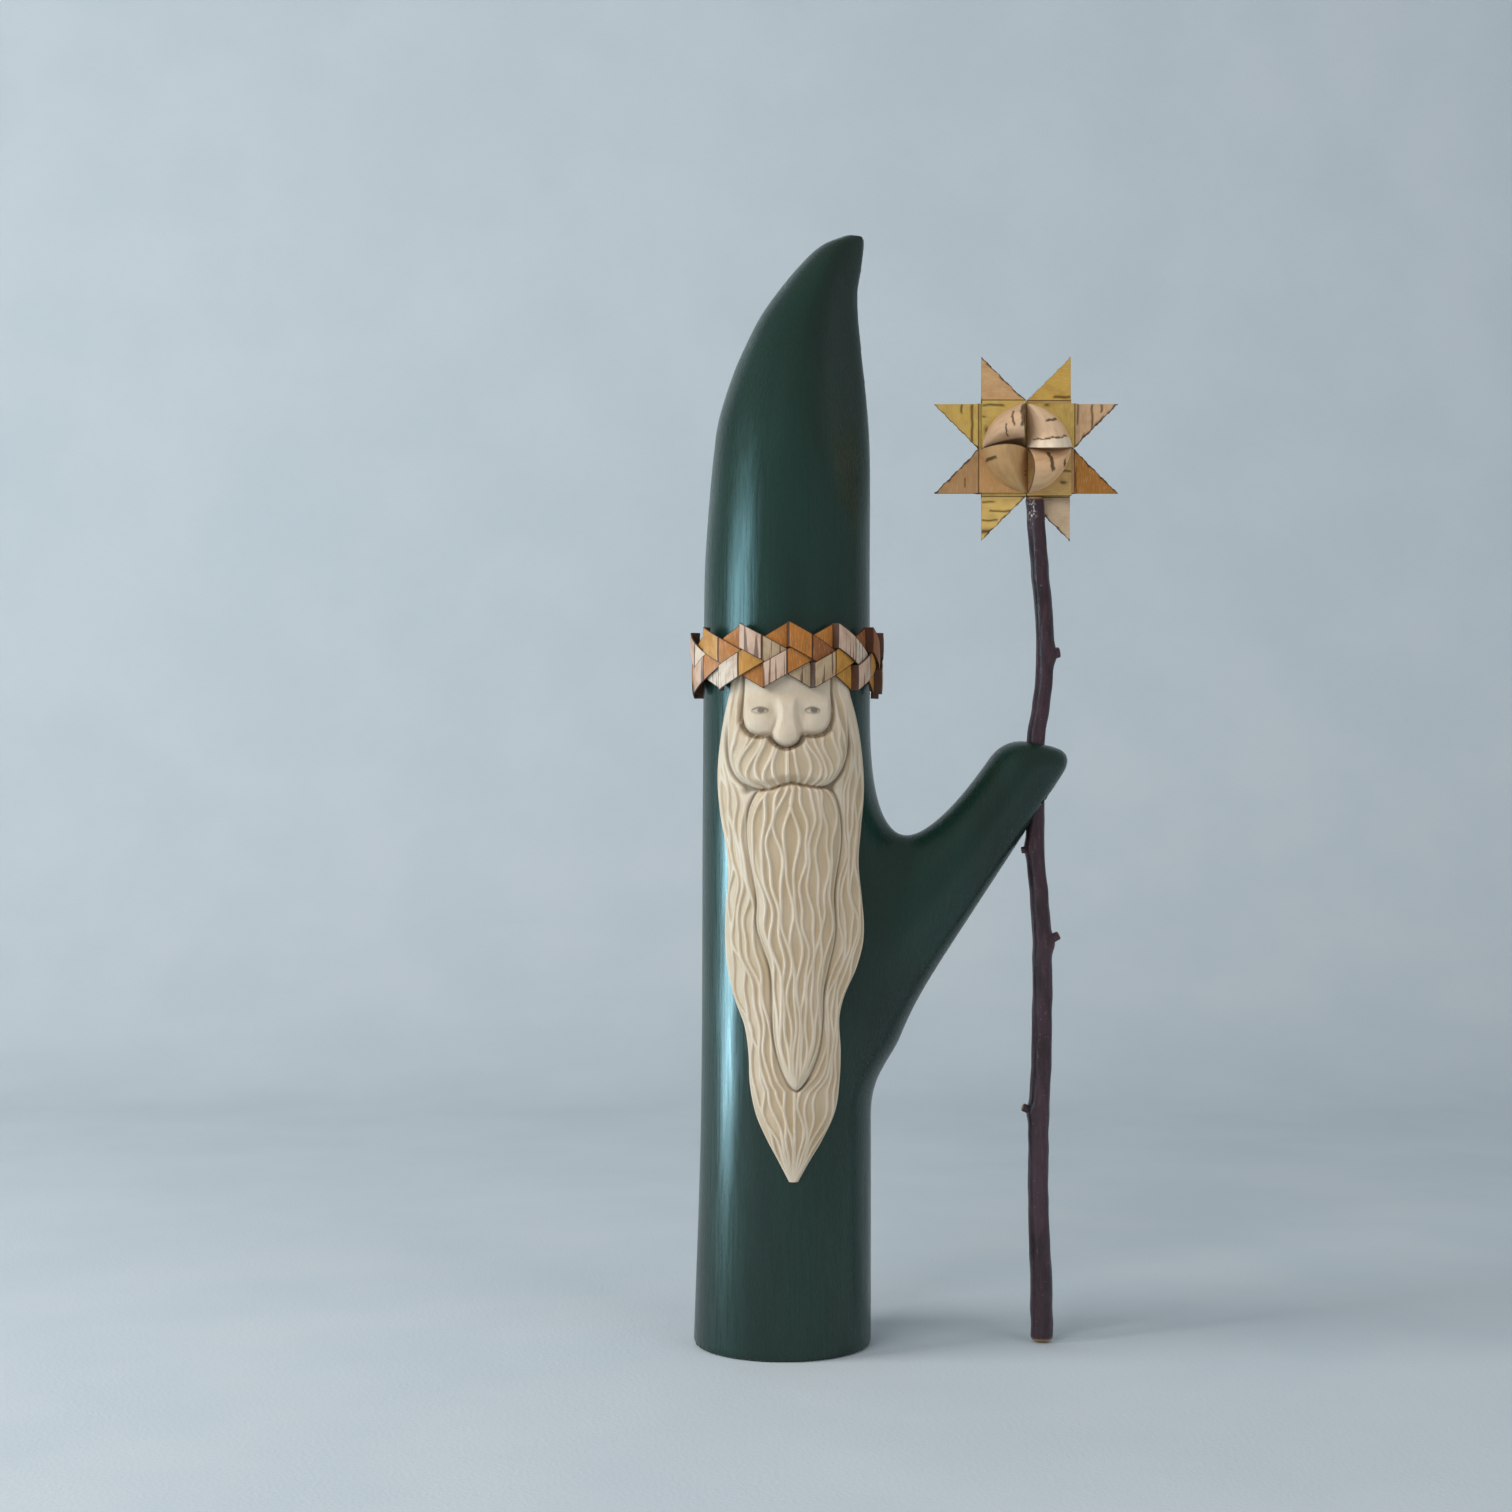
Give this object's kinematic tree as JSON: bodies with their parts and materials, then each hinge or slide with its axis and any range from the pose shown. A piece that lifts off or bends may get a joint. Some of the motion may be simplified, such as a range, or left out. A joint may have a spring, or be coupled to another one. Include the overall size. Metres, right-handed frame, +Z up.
{
  "type": "santa figurine",
  "caption": "Standing gift-bringer carved from a forked branch, with a carved beard, a lift-off plaited bark crown and a turning twig staff that carries a woven bark star.",
  "frame": {"origin": "middle of the figure's foot, on the surface that it stands on", "axes": "+Z up; the carved face looks towards -Y; the raised arm with the staff points towards +X"},
  "size_m": [0.1153, 0.0535, 0.2984],
  "materials": {
    "green_paint": "branch painted dark green, semi-gloss",
    "bare_wood": "bare pale carved wood, matt",
    "crown_bark": "birch bark, satin, orange-brown",
    "star_bark": "birch bark, satin, ochre",
    "twig_bark": "smooth dark twig bark, glossy"
  },
  "bodies": {
    "figure": {"body": "green_paint", "face_and_beard": "bare_wood"},
    "crown": {"crown_strip_1": "crown_bark", "crown_strip_2": "crown_bark", "crown_strip_3": "crown_bark"},
    "staff_and_star": {"staff": "twig_bark", "star_strip_1": "star_bark", "star_strip_2": "star_bark", "star_strip_3": "star_bark", "star_strip_4": "star_bark"}
  },
  "joints": [
    {"name": "crown_lift", "type": "slide", "parent": "figure", "child": "crown", "axis": [0, 0, 1], "range_m": [0, 0.128]},
    {"name": "staff_turn", "type": "hinge", "parent": "figure", "child": "staff_and_star", "pos_m": [0.0685, 0, 0.15], "axis": [0, 0, 1], "continuous": true}
  ]
}
